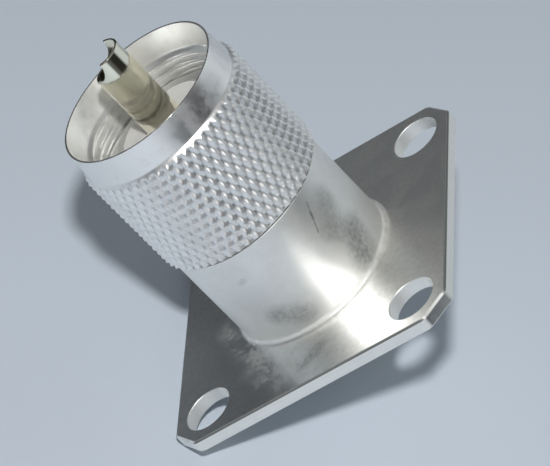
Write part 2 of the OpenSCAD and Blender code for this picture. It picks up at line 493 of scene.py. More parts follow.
        of_grain, of_speck, of_lines = self.relief_weights
        lines = surface.turning(self.lines)
        height = grain * of_grain + speck * of_speck + lines * turned * of_lines
        return surface.close(
            {
                "Base Color": colour,
                "Metallic": 1 - film * self.film_share,
                "Roughness": uneven.upper(self.least_roughness),
                "Normal": surface.bump(height, self.relief_strength, self.relief_depth),
            }
        )


@dataclass(frozen=True)
class SatinPlate:
    """Satin silver plate on the nut, with valleys darkened by painted shade and some dirt, a handled collar
    and a bright rim. Places in mm.
    """

    name: str = "satin_silver_plate"
    clean: Colour = (0.985, 0.98, 0.97)
    valley_shade_and_dirt: Colour = (0.19, 0.20, 0.21)
    inner: Colour = (0.985, 0.985, 0.96)
    clouds: Noise = Noise(0.5, 4.0, 0.6)
    grains: Noise = Noise(5.0, 3.0)
    valley_shade_and_dirt_share: float = 0.6
    cloud_span: Span = (0.5, 0.7)
    cloud_share: float = 0.15
    smudge_span: Span = (0.64, 0.36)
    smudge_low: float = 0.4
    film_grain: float = 0.4
    film_span: Span = (0.36, 0.64)
    film_low: float = 0.3
    film_share: float = 0.24
    roughness: float = 0.42
    collar_roughness: float = 0.33
    least_roughness: float = 0.285
    inner_roughness: float = 0.45
    rim_roughness: float = 0.12
    cloud_roughness: float = 0.14
    collar_cloud_roughness: float = 0.16
    grain_roughness: float = 0.1
    relief_strength: float = 0.1
    relief_depth: float = 0.004
    slope_span: Span = (9.12, 9.0)
    core_span: Span = (8.88, 8.95)
    knurl_rear_span: Span = (13.3, 13.5)
    knurl_front_span: Span = (25.4, 25.2)
    collar_span: Span = (25.4, 25.7)
    inner_span: Span = (8.52, 8.47)
    rim_span: Span = (28.62, 28.64)
    smudges: tuple[Stroke, ...] = (
        Stroke((4.8, -7.3, 26.4), (6.4, -5.9, 26.6), 2.4, 0.45),
        Stroke((6.4, -5.9, 26.6), (7.9, -3.7, 26.9), 2.3, 0.45),
    )

    def material(self) -> bpy.types.Material:
        """Build the nut's material.

        Returns:
            The material, with grime in the valleys, a warm mouth and a smudged, filmed collar.
        """
        surface = Surface(self.name)
        graph = surface.graph
        cloud = surface.noise(self.clouds)
        grain = surface.noise(self.grains)
        # Painted shade: the knurl's valleys and pits take a dark colour by their depth, standing in for the
        # shade that falls in them, together with some dirt.
        low = surface.radius.ramp(*self.slope_span) * surface.radius.ramp(*self.core_span)
        valley_shade_and_dirt_mask = low * surface.z.ramp(*self.knurl_rear_span) * surface.z.ramp(*self.knurl_front_span)
        inside = surface.radius.ramp(*self.inner_span)
        collar = surface.z.ramp(*self.collar_span)
        handled = collar * (1 - inside)
        rim = surface.z.ramp(*self.rim_span)

        uneven = cloud.ramp(*self.smudge_span).lifted(self.smudge_low)
        smudged = surface.marks(self.smudges) * handled * uneven
        cloudy = cloud.ramp(*self.cloud_span) * self.cloud_share
        share = (valley_shade_and_dirt_mask * self.valley_shade_and_dirt_share + cloudy + smudged).lower(1.0)
        clean = graph.mixed(inside, self.clean, self.inner)
        filmed = cloud.blend(grain, self.film_grain).ramp(*self.film_span).lifted(self.film_low)

        drop = collar * (self.roughness - self.collar_roughness)
        mottled = cloud * (collar * self.collar_cloud_roughness + self.cloud_roughness)
        mottled = mottled + grain * self.grain_roughness - collar * (self.collar_cloud_roughness / 2)
        middle = self.roughness - (self.cloud_roughness + self.grain_roughness) / 2
        satin = (mottled + middle - drop).upper(self.least_roughness)
        smooth = satin * (1 - inside) + inside * self.inner_roughness
        return surface.close(
            {
                "Base Color": graph.mixed(share, clean, self.valley_shade_and_dirt),
                "Metallic": 1 - handled * filmed * self.film_share,
                "Roughness": smooth * (1 - rim) + rim * self.rim_roughness,
                "Normal": surface.bump(grain * (1 - collar), self.relief_strength, self.relief_depth),
            }
        )


@dataclass(frozen=True)
class PolishedPlate:
    """Polished silver plate on the centre contact, left dull inside its hollow tip and cup."""

    name: str = "polished_silver_plate"
    clean: Colour = (0.98, 0.945, 0.79)
    dull: Colour = (0.90, 0.855, 0.69)
    clouds: Noise = Noise(0.8, 3.0)
    lines: Noise = Noise(9.0, 2.0)
    dull_span: Span = (0.45, 0.7)
    dull_share: float = 0.3
    roughness: float = 0.05
    cloud_roughness: float = 0.06
    line_roughness: float = 0.03
    hollow_roughness: float = 0.15
    hollow_span: Span = (1.78, 1.72)

    def material(self) -> bpy.types.Material:
        """Build the contact's material.

        Returns:
            The material, with faint wiping marks along the pin.
        """
        surface = Surface(self.name)
        cloud = surface.noise(self.clouds)
        lines = surface.turning(self.lines)
        hollow = surface.radius.ramp(*self.hollow_span)
        share = cloud.ramp(*self.dull_span) * self.dull_share
        wiped = cloud * self.cloud_roughness + lines * self.line_roughness
        rough = wiped + hollow * self.hollow_roughness + (self.roughness - self.cloud_roughness / 2)
        colour = surface.graph.mixed(share, self.clean, self.dull)
        return surface.close({"Base Color": colour, "Metallic": 1.0, "Roughness": rough})


@dataclass(frozen=True)
class WhiteInsulator:
    """White waxy fluoropolymer, turned to size."""

    name: str = "white_fluoropolymer"
    pale: Colour = (0.86, 0.855, 0.83)
    shade: Colour = (0.74, 0.73, 0.69)
    clouds: Noise = Noise(0.6, 4.0)
    rings: Noise = Noise(6.0, 2.0)
    shade_span: Span = (0.4, 0.7)
    shade_share: float = 0.5
    roughness: float = 0.28
    ring_roughness: float = 0.2
    relief_strength: float = 0.3
    relief_depth: float = 0.01
    refraction: float = 1.36

    def material(self) -> bpy.types.Material:
        """Build the insulator's material.

        Returns:
            The material, with cloudy depth and fine turning lines.
        """
        surface = Surface(self.name)
        graph = surface.graph
        cloud = surface.noise(self.clouds)
        rings = graph.noise(graph.joined(surface.radius, 0.0, surface.z), self.rings)
        share = cloud.ramp(*self.shade_span) * self.shade_share
        return surface.close(
            {
                "Base Color": graph.mixed(share, self.pale, self.shade),
                "Roughness": rings * self.ring_roughness + self.roughness,
                "Normal": surface.bump(rings, self.relief_strength, self.relief_depth),
                "IOR": self.refraction,
            }
        )


@dataclass(frozen=True)
class SpringBronze:
    """Drawn bronze of the split ring."""

    name: str = "drawn_spring_bronze"
    bright: Colour = (0.78, 0.58, 0.36)
    brown: Colour = (0.42, 0.27, 0.15)
    clouds: Noise = Noise(0.9, 4.0)
    grains: Noise = Noise(7.0, 2.0)
    stain_span: Span = (0.42, 0.66)
    roughness: float = 0.2
    grain_roughness: float = 0.25

    def material(self) -> bpy.types.Material:
        """Build the ring's material.

        Returns:
            The material, with brown stains and fine grain.
        """
        surface = Surface(self.name)
        stained = surface.noise(self.clouds).ramp(*self.stain_span)
        colour = surface.graph.mixed(stained, self.bright, self.brown)
        rough = surface.noise(self.grains) * self.grain_roughness + self.roughness
        return surface.close({"Base Color": colour, "Metallic": 1.0, "Roughness": rough})


@dataclass(frozen=True)
class Corner:
    """One corner of a path: two places in millimetres, and how far from it its edges start to round."""

    u: float
    v: float
    ease: float = 0.0


class EasedPath:
    """Corners joined by straight lines, with each eased corner turned into a short arc."""

    ARC_STEPS = 4
    GUARD = 0.03

    def __init__(self, corners: Sequence[Corner], closed: bool = False) -> None:
        """Keep the corners in order."""
        self.corners = list(corners)
        self.closed = closed

    def points(self) -> list[Vector]:
        """Work out the path's points.

        Returns:
            The points in order, with guard points that keep flat runs flat.
        """
        found: list[Vector] = []
        last = len(self.corners) - 1
        for index, corner in enumerate(self.corners):
            end = not self.closed and index in (0, last)
            if corner.ease <= 0 or end:
                found.append(Vector((corner.u, corner.v)))
                continue
            before = self.corners[index - 1]
            after = self.corners[(index + 1) % len(self.corners)]
            found.extend(self._arc(before, corner, after))
        return found

    def _arc(self, before: Corner, corner: Corner, after: Corner) -> list[Vector]:
        """Return the points of one eased corner.

        Args:
            before: The corner before it.
            corner: The eased corner.
            after: The corner after it.

        Returns:
            A guard point, the arc and a second guard point.
        """
        middle = Vector((corner.u, corner.v))
        back = Vector((before.u, before.v)) - middle
        ahead = Vector((after.u, after.v)) - middle
        arc: list[Vector] = []
        reach = corner.ease + self.GUARD
        if back.length > 2 * reach:
            arc.append(middle + back.normalized() * reach)
        start = middle + back.normalized() * corner.ease
        stop = middle + ahead.normalized() * corner.ease
        for step in range(self.ARC_STEPS + 1):
            t = step / self.ARC_STEPS
            arc.append(start.lerp(middle, t).lerp(middle.lerp(stop, t), t))
        if ahead.length > 2 * reach:
            arc.append(middle + ahead.normalized() * reach)
        return arc


def placed(name: str, data: bpy.types.ID) -> bpy.types.Object:
    """Add an object to the scene, at the origin.

    Args:
        name: The object's name.
        data: Its mesh, camera or lamp.

    Returns:
        The object.
    """
    made = bpy.data.objects.new(name, data)
    bpy.context.scene.collection.objects.link(made)
    return made


class MeshJob:
    """A mesh under construction, in millimetres, that ends as a piece at the origin."""

    def __init__(self, segments: int, angles: Sequence[float] = ()) -> None:
        """Start an empty mesh.

        Args:
            segments: Even segments of its turned shapes.
            angles: Angles in radians that take the place of even segments.
        """
        self.bm = bmesh.new()
        self.segments = segments
        self.angles = list(angles)

    def ring(self, radius: float, height: float, centre: tuple[float, float] = (0.0, 0.0)) -> list:
        """Add a circle of points, or one point on the axis.

        Args:
            radius: The circle's radius.
            height: Its place along the axis.
            centre: Its middle across the axis.

        Returns:
            The points in order.
        """
        if radius < TINY:
            return [self.bm.verts.new((centre[0], centre[1], height))]
        turn = 2 * math.pi / self.segments
        angles = self.angles or [k * turn for k in range(self.segments)]
        return [
            self.bm.verts.new(
                (centre[0] + radius * math.cos(angle), centre[1] + radius * math.sin(angle), height)
            )
            for angle in angles
        ]

    def loop(self, points: Sequence[Vector], height: float) -> list:
        """Add a loop of points at one height."""
        return [self.bm.verts.new((point.x, point.y, height)) for point in points]

    def skin(self, first: list, second: list) -> None:
        """Add the faces between two loops, or between a loop and a point on the axis.

        Args:
            first: The points of one loop, or one point.
            second: As many points of the other loop, or one point.
        """
        count = max(len(first), len(second))
        for k in range(count):
            j = (k + 1) % count
            near = [first[k % len(first)], first[j % len(first)]]
            far = [second[j % len(second)], second[k % len(second)]]
            corners = list(dict.fromkeys(near + far))
            if len(corners) > 2:
                self.bm.faces.new(corners)

    def skins(self, loops: Sequence[list]) -> None:
        """Add the faces between each loop and the next."""
        for first, second in zip(loops, loops[1:]):
            self.skin(first, second)

    def spin(self, path: EasedPath) -> list[list]:
        """Turn a path of radius and height about the axis.

        Args:
            path: The section.

        Returns:
            The circles, in the path's order.
        """
        rings = [self.ring(point.x, point.y) for point in path.points()]
        self.skins(rings)
        if path.closed:
            self.skin(rings[-1], rings[0])
        return rings

    def fill(self, loops: Sequence[list]) -> None:
        """Fill the flat face between an outline and its holes.

        Args:
            loops: The outline and the holes, each as points in order.
        """
        edges = []
        for loop in loops:
            for pair in zip(loop, loop[1:] + loop[:1]):
                edges.append(self.bm.edges.get(pair) or self.bm.edges.new(pair))
        bmesh.ops.triangle_fill(self.bm, use_beauty=True, use_dissolve=False, edges=edges)

    def take(self, mesh: bpy.types.Mesh) -> None:
        """Add a baked mesh, which is then removed."""
        self.bm.from_mesh(mesh)
        bpy.data.meshes.remove(mesh)

    def close(self, name: str, finish: bpy.types.Material, sharp: float = 30.0) -> bpy.types.Object:
        """Make the piece.

        Args:
            name: The piece's name.
            finish: Its material.
            sharp: Angle in degrees past which an edge stays crisp.

        Returns:
            The piece, in metres.
        """
        bmesh.ops.transform(self.bm, matrix=Matrix.Scale(MM, 4), verts=self.bm.verts)
        bmesh.ops.remove_doubles(self.bm, verts=self.bm.verts, dist=MERGE_DISTANCE)
        bmesh.ops.recalc_face_normals(self.bm, faces=self.bm.faces)
        mesh = bpy.data.meshes.new(name)
        self.bm.to_mesh(mesh)
        self.bm.free()
        mesh.shade_smooth()
        mesh.set_sharp_from_angle(angle=math.radians(sharp))
        mesh.materials.clear()
        mesh.materials.append(finish)
        return placed(name, mesh)


def hand_over(piece: bpy.types.Object, body: Body, node: str) -> None:
    """Let a piece ride a body and stand for a CAD node.

    Args:
        piece: The finished piece.
        body: The body that it moves with.
        node: The CAD node that it stands for.
    """
    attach(piece, body.value)
    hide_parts(node)
    LOG.info("%s: %d faces on %s", piece.name, len(piece.data.polygons), body.value)


class NodeShape:
    """A Geometry Nodes tree with named sizes that is baked to a plain mesh."""

    def __init__(self, name: str, sizes: dict[str, float | int], finish: bpy.types.Material) -> None:
        """Start a tree.

        Args:
            name: The tree's name.
            sizes: Its named inputs, counts as whole numbers.
            finish: The material that the tree sets.
        """
        tree = bpy.data.node_groups.new(name, "GeometryNodeTree")
        self.name = name
        self.sizes = sizes
        self.finish = finish
        self.graph = Graph(tree)
        self.identifiers: dict[str, str] = {}
        tree.interface.new_socket(name="Geometry", in_out="OUTPUT", socket_type="NodeSocketGeometry")
        for label, value in sizes.items():
            kind = "NodeSocketInt" if isinstance(value, int) else "NodeSocketFloat"
            socket = tree.interface.new_socket(name=label, in_out="INPUT", socket_type=kind)
            self.identifiers[label] = socket.identifier
        socket = tree.interface.new_socket(name="Finish", in_out="INPUT", socket_type="NodeSocketMaterial")
        self.identifiers["Finish"] = socket.identifier
        self.inputs = self.graph.node("NodeGroupInput")

    def size(self, label: str) -> Term:
        """Return a named input."""
        return Term(self.graph, self.inputs.outputs[label])

    def sheet(self) -> tuple[Term, Term, Term]:
        """Add a flat grid of Columns by Rows faces.

        Returns:
            The grid, and the share of the way across and along it at each point.
        """
        sockets = {
            "Size X": 1.0,
            "Size Y": 1.0,
            "Vertices X": self.size("Columns") + 1,
            "Vertices Y": self.size("Rows") + 1,
        }
        grid = self.graph.term("GeometryNodeMeshGrid", {}, sockets, "Mesh")
        across, along, _ = self.graph.parts(self.graph.term("GeometryNodeInputPosition"))
        return grid, across + 0.5, along + 0.5

    def wrap(self, grid: Term, turn: Term, radius: Term, height: Term) -> None:
        """Wrap a grid round the axis and end the tree.

        Args:
            grid: The flat grid.
            turn: Share of a full turn at each point.
            radius: Radius at each point.
            height: Place along the axis at each point.
        """
        angle = turn * (2 * math.pi)
        place = self.graph.joined(
            radius * self.graph.math("COSINE", angle), radius * self.graph.math("SINE", angle), height
        )
        wrapped = self.graph.term("GeometryNodeSetPosition", {}, {"Geometry": grid, "Position": place})
        parted = self.graph.term(
            "GeometryNodeTriangulate", {"quad_method": "SHORTEST_DIAGONAL"}, {"Mesh": wrapped}
        )
        whole = self.graph.term("GeometryNodeRealizeInstances", {}, {"Geometry": parted})
        dressed = self.graph.term(
            "GeometryNodeSetMaterial", {}, {"Geometry": whole, "Material": self.size("Finish")}
        )
        self.graph.node("NodeGroupOutput", {}, {"Geometry": dressed})

    def bake(self) -> bpy.types.Mesh:
        """Evaluate the tree.

        Returns:
            Its result as a plain mesh, in millimetres.
        """
        holder = placed(self.name, bpy.data.meshes.new(self.name))
        modifier = holder.modifiers.new(self.name, "NODES")
        modifier.node_group = self.graph.tree
        for label, value in self.sizes.items():
            modifier[self.identifiers[label]] = value
        modifier[self.identifiers["Finish"]] = self.finish
        depsgraph = bpy.context.evaluated_depsgraph_get()
        baked = bpy.data.meshes.new_from_object(holder.evaluated_get(depsgraph))
        holder.modifiers.remove(modifier)
        bpy.data.objects.remove(holder)
        return baked


@dataclass
class FlangeBody:
    """The flange, barrel, neck, ferrule and pilot boss, one turned and milled piece. Sizes in millimetres."""

    half_side: float = 16.0
    thickness: float = 1.5
    corner_distance: float = 29.5 / math.sqrt(2)
    edge_break: float = 0.2
    plan_ease: float = 0.35
    hole_offset: float = 12.05
    hole_radius: float = 2.5
    hole_break: float = 0.08
    barrel_radius: float = 8.85
    fillet: float = 0.4
    fillet_steps: int = 6
    fillet_guard: float = 0.05
    shoulder: float = 13.1
    neck_radius: float = 7.2
    groove_radius: float = 6.525
    groove_low: float = 15.25
    groove_high: float = 16.35
    contact_face: float = 23.2
    ferrule_radius: float = 5.95
    ferrule_end: float = 24.3
    bore: float = 5.0
    rear_bore: float = 4.6
    bore_step: float = 12.3
    boss_radius: float = 6.4
    boss_end: float = -4.0
    chamfer: float = 0.15
    shoulder_break: float = 0.06
    ease: float = 0.06
    segments: int = 192
    hole_segments: int = 64

    def outline(self, inset: float) -> list[Vector]:
        """Work out the flange's outline.

        Args:
            inset: How far it is drawn in.

        Returns:
            Its points in order.
        """
        side = self.half_side - inset
        short = (self.corner_distance - inset) * math.sqrt(2) - side
        corners = [
            (side, -short),
            (side, short),
            (short, side),
            (-short, side),
            (-side, short),
            (-side, -short),
            (-short, -side),
            (short, -side),
        ]
        return EasedPath([Corner(x, y, self.plan_ease) for x, y in corners], closed=True).points()

    def section(self) -> EasedPath:
        """Work out the turned section.

        Returns:
            The section, from the flange's front face over the neck and down to its rear face.
        """
        foot = self.barrel_radius + self.fillet
        top = self.thickness
        arc = []
        for step in range(self.fillet_steps + 1):
            angle = math.pi / 2 * step / self.fillet_steps
            arc.append(
                Corner(foot - self.fillet * math.sin(angle), top + self.fillet * (1 - math.cos(angle)))
            )
        return EasedPath(
            [
                Corner(foot + self.fillet_guard, top),
                *arc,
                Corner(self.barrel_radius, top + self.fillet + self.fillet_guard),
                Corner(self.barrel_radius, self.shoulder, self.shoulder_break),
                Corner(self.neck_radius, self.shoulder, self.ease),
                Corner(self.neck_radius, self.groove_low, self.ease),
                Corner(self.groove_radius, self.groove_low),
                Corner(self.groove_radius, self.groove_high),
                Corner(self.neck_radius, self.groove_high, self.ease),
                Corner(self.neck_radius, self.contact_face - self.chamfer, self.ease),
                Corner(self.neck_radius - self.chamfer, self.contact_face, self.ease),
                Corner(self.ferrule_radius, self.contact_face, self.ease),
                Corner(self.ferrule_radius, self.ferrule_end - self.chamfer, self.ease),
                Corner(self.ferrule_radius - self.chamfer, self.ferrule_end, self.ease),
                Corner(self.bore, self.ferrule_end, self.ease),
                Corner(self.bore, self.bore_step),
                Corner(self.rear_bore, self.bore_step),
                Corner(self.rear_bore, self.boss_end, self.ease),
                Corner(self.boss_radius - self.chamfer, self.boss_end, self.ease),
                Corner(self.boss_radius, self.boss_end + self.chamfer, self.ease),
                Corner(self.boss_radius, 0.0),
            ]
        )

    def build(self, finish: bpy.types.Material) -> bpy.types.Object:
        """Build the closed solid.

        Args:
            finish: The plate's material.

        Returns:
            The piece.
        """
        job = MeshJob(self.segments)
        rings = job.spin(self.section())
        levels = [
            (self.edge_break, self.thickness),
            (0.0, self.thickness - self.edge_break),
            (0.0, self.edge_break),
            (self.edge_break, 0.0),
        ]
        sides = [job.loop(self.outline(inset), height) for inset, height in levels]
        job.skins(sides)
        front = [sides[0], rings[0]]
        rear = [sides[-1], rings[-1]]
        job.segments = self.hole_segments
        for x in (-self.hole_offset, self.hole_offset):
            for y in (-self.hole_offset, self.hole_offset):
                walls = self._hole(job, (x, y))
                front.append(walls[0])
                rear.append(walls[-1])
        job.fill(front)
        job.fill(rear)
        return job.close("flange_body_plated", finish)

    def _hole(self, job: MeshJob, centre: tuple[float, float]) -> list[list]:
        """Add one mounting hole's wall.

        Args:
            job: The mesh under construction.
            centre: The hole's middle.

        Returns:
            The circles from the front face to the rear face.
        """
        wide = self.hole_radius + self.hole_break
        levels = [
            (wide, self.thickness),
            (self.hole_radius, self.thickness - self.hole_break),
            (self.hole_radius, self.hole_break),
            (wide, 0.0),
        ]
        walls = [job.ring(radius, height, centre) for radius, height in levels]
        job.skins(walls)
        return walls

    def dress(self) -> None:
        """Build the piece and hand it over."""
        hand_over(self.build(WornPlate().material()), Body.PLUG, "flange_body")


@dataclass
class CouplingNut:
    """The knurled nut: diamond grip, tapered collar, lead-in, thread and bearing. Sizes in millimetres."""

    rear: float = 13.2
    collar_radius: float = 8.85
    valley_radius: float = 9.0
    depth: float = 0.4
    knurl_count: int = 54
    knurl_first: float = 13.5
    knurl_pitch: float = 11.4 / 11
    knurl_rows: int = 12
    rear_chamfer: float = 0.25
    front_chamfer: float = 0.85
    end_radius: float = 8.8
    chamfer_share: float = 0.9
    bead_lower: float = 0.36
    bead_sum: float = 0.32
    bead_round: float = 0.2
    points_per_step: int = 5
    knurl_front: float = 25.75
    mouth: float = 28.65
    mouth_radius: float = 8.65
    rim_radius: float = 8.45
    thread_radius: float = 7.95
    thread_depth: float = 0.5
    thread_pitch: float = 1.058
    thread_low: float = 18.7
    thread_high: float = 26.25
    thread_flank: float = 1.5
    thread_root: float = 0.3
    thread_run_in: float = 0.25
    thread_run_out: float = 0.3
    thread_points: int = 8
    bearing_radius: float = 7.25
    groove_radius: float = 7.975
    groove_low: float = 15.15
    groove_high: float = 16.45
    chamfer: float = 0.15
    ease: float = 0.06
    rim_ease: float = 0.025
    sharp: float = 48.0

    @property
    def columns(self) -> int:
        """Faces in one turn."""
        return 2 * self.knurl_count * self.points_per_step

    @property
    def crest_radius(self) -> float:
        """Radius over the knurl's points."""
        return self.valley_radius + self.depth

    @property
    def knurl_last(self) -> float:
        """Height of the knurl's last full row."""
        return self.knurl_first + (self.knurl_rows - 1) * self.knurl_pitch

    @property
    def rear_slope(self) -> float:
        """Fall of the rear chamfer's cone in each millimetre."""
        return (self.crest_radius - self.end_radius) / self.rear_chamfer

    @property
    def front_slope(self) -> float:
        """Fall of the front chamfer's cone in each millimetre."""
        return (self.crest_radius - self.end_radius) / self.front_chamfer

    @property
    def band_low(self) -> float:
        """Height at which the rear chamfer meets the core."""
        return self.knurl_first - self.rear_chamfer * self.chamfer_share

    @property
    def band_high(self) -> float:
        """Height at which the front chamfer meets the collar."""
        return self.knurl_last + self.front_chamfer * self.chamfer_share

    def knurl(self, finish: bpy.types.Material) -> bpy.types.Mesh:
        """Build the diamond grip with a node tree.

        Args:
            finish: The nut's material.

        Returns:
            The grip's skin, open at both ends.
        """
        row_height = self.knurl_pitch / self.points_per_step
        below = math.ceil((self.knurl_first - self.band_low) / row_height)
        above = math.ceil((self.band_high - self.knurl_last) / row_height)
        rows = (self.knurl_rows - 1) * self.points_per_step + below + above
        sizes = {
            "Columns": self.columns,
            "Rows": rows,
            "Rows Below": float(below),
            "Points Per Step": float(self.points_per_step),
            "Steps": float(2 * self.knurl_count),
            "First Row": self.knurl_first,
            "Last Row": self.knurl_last,
            "Row Pitch": self.knurl_pitch,
            "Low End": self.band_low,
            "High End": self.band_high,
            "Valley Radius": self.valley_radius,
            "Crest Radius": self.crest_radius,
            "Depth": self.depth,
            "Rear Slope": self.rear_slope,
            "Front Slope": self.front_slope,
        }
        shape = NodeShape("diamond_knurl", sizes, finish)
        grid, turn, share = shape.sheet()
        row = (share * rows - shape.size("Rows Below")) / shape.size("Points Per Step")
        step = turn * shape.size("Steps")
        height = (shape.size("First Row") + row * shape.size("Row Pitch")).upper(shape.size("Low End"))
        height = height.lower(shape.size("High End"))
        right = abs((row + 1 + step) % 2 - 1)
        left = abs((row + 1 - step) % 2 - 1)
        point = right.lower(left) * self.bead_lower + (right + left) * self.bead_sum
        rounded = point.blend(point * point, self.bead_round)
        radius = shape.size("Valley Radius") + shape.size("Depth") * rounded
        crest = shape.size("Crest Radius")
        radius = radius.lower(crest - shape.size("Rear Slope") * (shape.size("First Row") - height))
        radius = radius.lower(crest - shape.size("Front Slope") * (height - shape.size("Last Row")))
        shape.wrap(grid, turn, radius, height)
        return shape.bake()

    def thread(self, finish: bpy.types.Material) -> bpy.types.Mesh:
        """Build the mouth's thread with a node tree.

        Args:
            finish: The nut's material.

        Returns:
            The thread's skin, open at both ends.
        """
        turns = (self.thread_high - self.thread_low) / self.thread_pitch
        sizes = {
            "Columns": self.columns,
            "Rows": round(turns * self.thread_points),
            "Low End": self.thread_low,
            "High End": self.thread_high,
            "Pitch": self.thread_pitch,
            "Major Radius": self.thread_radius,
            "Depth": self.thread_depth,
            "Run In": self.thread_run_in,
            "Run Out": self.thread_run_out,
        }
        shape = NodeShape("mouth_thread", sizes, finish)
        grid, turn, share = shape.sheet()
        low = shape.size("Low End")
        high = shape.size("High End")
        height = low + share * (high - low)
        wave = abs((height / shape.size("Pitch") - turn) % 1 * 2 - 1)
        ridge = (wave * self.thread_flank - self.thread_root).upper(0.0).lower(1.0)
        run = ((high - height) / shape.size("Run In")).lower((height - low) / shape.size("Run Out"))
        radius = shape.size("Major Radius") - shape.size("Depth") * ridge * run.lower(1.0)
        shape.wrap(grid, turn, radius, height)
        return shape.bake()

    def rear_section(self) -> EasedPath:
        """Work out the rear section.

        Returns:
            The section from the knurl's rear end over the bearing to the thread.
        """
        start = self.crest_radius - self.rear_slope * (self.knurl_first - self.band_low)
        return EasedPath(
            [
                Corner(start, self.band_low),
                Corner(self.collar_radius - self.chamfer, self.rear, self.ease),
                Corner(self.bearing_radius, self.rear, self.ease),
                Corner(self.bearing_radius, self.groove_low),
                Corner(self.groove_radius, self.groove_low),
                Corner(self.groove_radius, self.groove_high),
                Corner(self.bearing_radius, self.groove_high),
                Corner(self.bearing_radius, self.thread_low, self.ease),
                Corner(self.thread_radius, self.thread_low),
            ]
        )

    def front_section(self) -> EasedPath:
        """Work out the front section.

        Returns:
            The section from the thread over the rim to the knurl's front end.
        """
        end = self.crest_radius - self.front_slope * (self.band_high - self.knurl_last)
        return EasedPath(
            [
                Corner(self.thread_radius, self.thread_high),
                Corner(self.rim_radius, self.mouth, self.rim_ease),
                Corner(self.mouth_radius, self.mouth, self.rim_ease),
                Corner(self.collar_radius, self.knurl_front, self.ease / 2),
                Corner(end, self.band_high),
            ]
        )

    def build(self, finish: bpy.types.Material) -> bpy.types.Object:
        """Join the turned sections, the knurl and the thread into one closed solid.

        Args:
            finish: The nut's material.

        Returns:
            The piece.
        """
        job = MeshJob(self.columns)
        job.spin(self.rear_section())
        job.spin(self.front_section())
        job.take(self.knurl(finish))
        job.take(self.thread(finish))
        return job.close("coupling_nut_knurled", finish, self.sharp)

    def dress(self) -> None:
        """Build the piece and hand it over."""
        hand_over(self.build(SatinPlate().material()), Body.NUT, "coupling_nut")


@dataclass
class Insulators:
    """The two turned insulators that carry the contact. Sizes in millimetres."""

    front_radius: float = 4.98
    front_end: float = 24.3
    seat: float = 12.3
    bore: float = 2.22
    counterbore: float = 3.02
    counterbore_end: float = 13.8
    rear_radius: float = 4.58
    rear_end: float = -6.0
    chamfer: float = 0.15
    ease: float = 0.08
    segments: int = 128

    def front(self) -> list[Corner]:
        """Return the front insulator's section."""
        return [
            Corner(self.bore, self.front_end, self.ease),
            Corner(self.bore, self.counterbore_end),
            Corner(self.counterbore, self.counterbore_end),
            Corner(self.counterbore, self.seat),
            Corner(self.front_radius, self.seat, self.ease),
            Corner(self.front_radius, self.front_end, self.ease),
        ]

    def rear(self) -> list[Corner]:
        """Return the rear insulator's section."""
        return [
            Corner(self.bore, self.seat),
            Corner(self.bore, self.rear_end, self.ease),
            Corner(self.rear_radius - self.chamfer, self.rear_end, self.ease),
            Corner(self.rear_radius, self.rear_end + self.chamfer, self.ease),
            Corner(self.rear_radius, self.seat),
        ]

    def build(self, name: str, corners: list[Corner], finish: bpy.types.Material) -> bpy.types.Object:
        """Turn one insulator.

        Args:
            name: The piece's name.
            corners: Its closed section.
            finish: Its material.

        Returns:
            The piece.
        """
        job = MeshJob(self.segments)
        job.spin(EasedPath(corners, closed=True))
        return job.close(name, finish)

    def dress(self) -> None:
        """Build both insulators and hand them over."""
        finish = WhiteInsulator().material()
        for node, corners in (("front_insulator", self.front()), ("rear_insulator", self.rear())):
            piece = self.build(f"{node}_turned", corners, finish)
            hand_over(piece, Body.PLUG, node)


